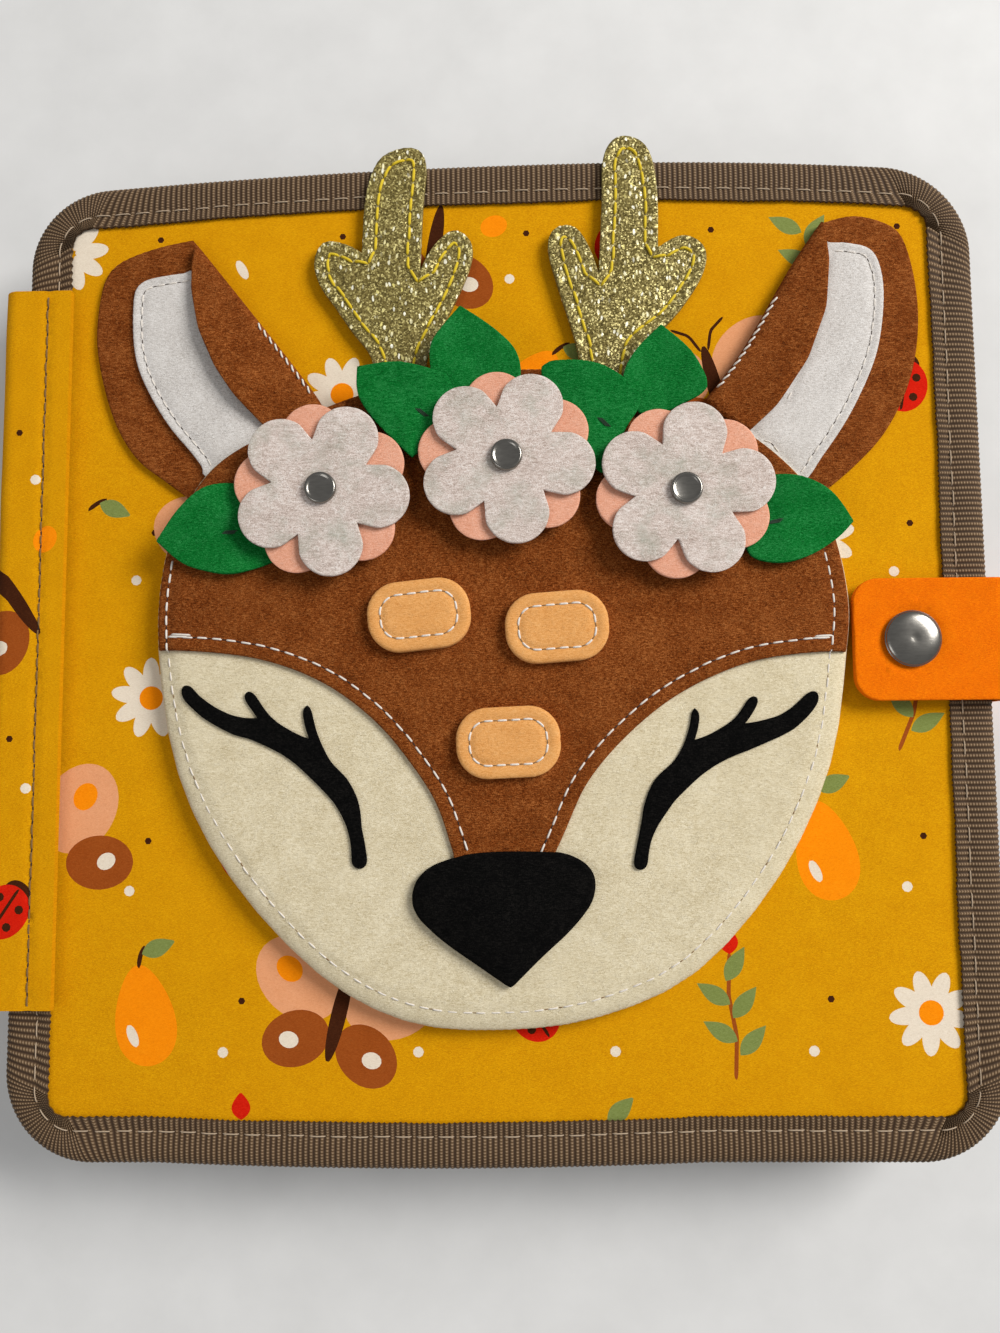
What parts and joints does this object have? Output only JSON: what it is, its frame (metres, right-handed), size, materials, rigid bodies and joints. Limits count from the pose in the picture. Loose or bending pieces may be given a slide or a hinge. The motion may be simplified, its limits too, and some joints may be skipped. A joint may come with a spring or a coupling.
{
  "type": "quiet book",
  "caption": "Soft felt quiet book with a padded animal face on its cover, spinning flowers, turning leaves, a clock page and a closing strap with a press stud.",
  "frame": {"origin": "middle of the bottom of the outer box, with the book lying closed on its back cover", "axes": "+X from the spine to the fore-edge with the strap, +Y to the antlers, +Z out of the front cover"},
  "size_m": [0.2276, 0.2318, 0.0405],
  "materials": {
    "printed_cotton": "mustard cotton with a small printed pattern",
    "ribbon": "taupe ribbed ribbon with a looped edge",
    "board": "matt",
    "batting": "soft white batting",
    "cream_felt": "matt felt",
    "white_felt": "matt felt",
    "brown_felt": "matt felt",
    "tan_felt": "matt felt",
    "black_felt": "matt felt",
    "green_felt": "matt felt",
    "peach_felt": "matt felt",
    "blush_felt": "matt felt",
    "orange_felt": "matt felt",
    "red_felt": "matt felt",
    "glitter": "gold glitter sheet with silver sparks",
    "steel": "polished"
  },
  "bodies": {
    "back_cover": {"back_panel": "printed_cotton", "back_core": "board", "back_lining": "cream_felt", "back_binding": "ribbon", "spine_strip_back": "printed_cotton", "strap_anchor": "orange_felt"},
    "leaf_2": {"leaf_2_back": "cream_felt", "leaf_2_front": "cream_felt", "leaf_2_binding": "ribbon", "spine_tab_2": "printed_cotton"},
    "leaf_1": {"leaf_1_back": "cream_felt", "leaf_1_front": "cream_felt", "leaf_1_binding": "ribbon", "spine_tab_1": "printed_cotton", "clock_dial": "white_felt", "clock_rivet": "steel"},
    "front_cover": {"front_panel": "printed_cotton", "front_core": "board", "front_lining": "cream_felt", "front_binding": "ribbon", "spine_strip_front": "printed_cotton", "head_backing": "batting", "head": "cream_felt", "mask": "brown_felt", "nose": "black_felt", "lash_left": "black_felt", "lash_right": "black_felt", "spot_1": "tan_felt", "spot_2": "tan_felt", "spot_3": "tan_felt", "ear_left": "brown_felt", "ear_left_inner": "white_felt", "ear_right": "brown_felt", "ear_right_inner": "white_felt", "antler_left": "glitter", "antler_right": "glitter", "green_leaf_1": "green_felt", "green_leaf_2": "green_felt", "green_leaf_3": "green_felt", "green_leaf_4": "green_felt", "green_leaf_5": "green_felt", "green_leaf_6": "green_felt", "rivet_1": "steel", "rivet_2": "steel", "rivet_3": "steel", "snap_stud": "steel", "stud_washer": "steel"},
    "hour_hand": {"hour_hand": "red_felt"},
    "minute_hand": {"minute_hand": "red_felt"},
    "flower_1": {"petals_low_1": "peach_felt", "petals_high_1": "blush_felt"},
    "flower_2": {"petals_low_2": "peach_felt", "petals_high_2": "blush_felt"},
    "flower_3": {"petals_low_3": "peach_felt", "petals_high_3": "blush_felt"},
    "strap_side": {"strap_side": "orange_felt"},
    "strap_flap": {"strap_flap": "orange_felt", "snap_cap": "steel", "snap_socket": "steel"}
  },
  "joints": [
    {"name": "leaf_2_turn", "type": "hinge", "parent": "back_cover", "child": "leaf_2", "pos_m": [-0.1141, -0.0043, 0.0082], "axis": [0, 1, 0], "range_deg": [-90, 0]},
    {"name": "leaf_1_turn", "type": "hinge", "parent": "leaf_2", "child": "leaf_1", "pos_m": [-0.1141, -0.0043, 0.0137], "axis": [0, 1, 0], "range_deg": [-90, 0]},
    {"name": "front_cover_open", "type": "hinge", "parent": "leaf_1", "child": "front_cover", "pos_m": [-0.1141, -0.0043, 0.02075], "axis": [0, -1, 0], "range_deg": [0, 180]},
    {"name": "strap_side_turn", "type": "hinge", "parent": "back_cover", "child": "strap_side", "pos_m": [0.1138, -0.00281, 0], "axis": [0, 1, 0], "range_deg": [0, 90]},
    {"name": "strap_flap_open", "type": "hinge", "parent": "strap_side", "child": "strap_flap", "pos_m": [0.1138, -0.00281, 0.032], "axis": [0, 1, 0], "range_deg": [0, 90]},
    {"name": "hour_hand_turn", "type": "hinge", "parent": "leaf_1", "child": "hour_hand", "pos_m": [0.001, -0.0043, 0.0196], "axis": [0, 0, 1], "continuous": true},
    {"name": "minute_hand_turn", "type": "hinge", "parent": "leaf_1", "child": "minute_hand", "pos_m": [0.001, -0.0043, 0.0209], "axis": [0, 0, 1], "continuous": true},
    {"name": "flower_1_spin", "type": "hinge", "parent": "front_cover", "child": "flower_1", "pos_m": [-0.03751, 0.03073, 0.037], "axis": [0, 0, 1], "continuous": true},
    {"name": "flower_2_spin", "type": "hinge", "parent": "front_cover", "child": "flower_2", "pos_m": [0.00304, 0.03746, 0.037], "axis": [0, 0, 1], "continuous": true},
    {"name": "flower_3_spin", "type": "hinge", "parent": "front_cover", "child": "flower_3", "pos_m": [0.0419, 0.02956, 0.037], "axis": [0, 0, 1], "continuous": true}
  ]
}
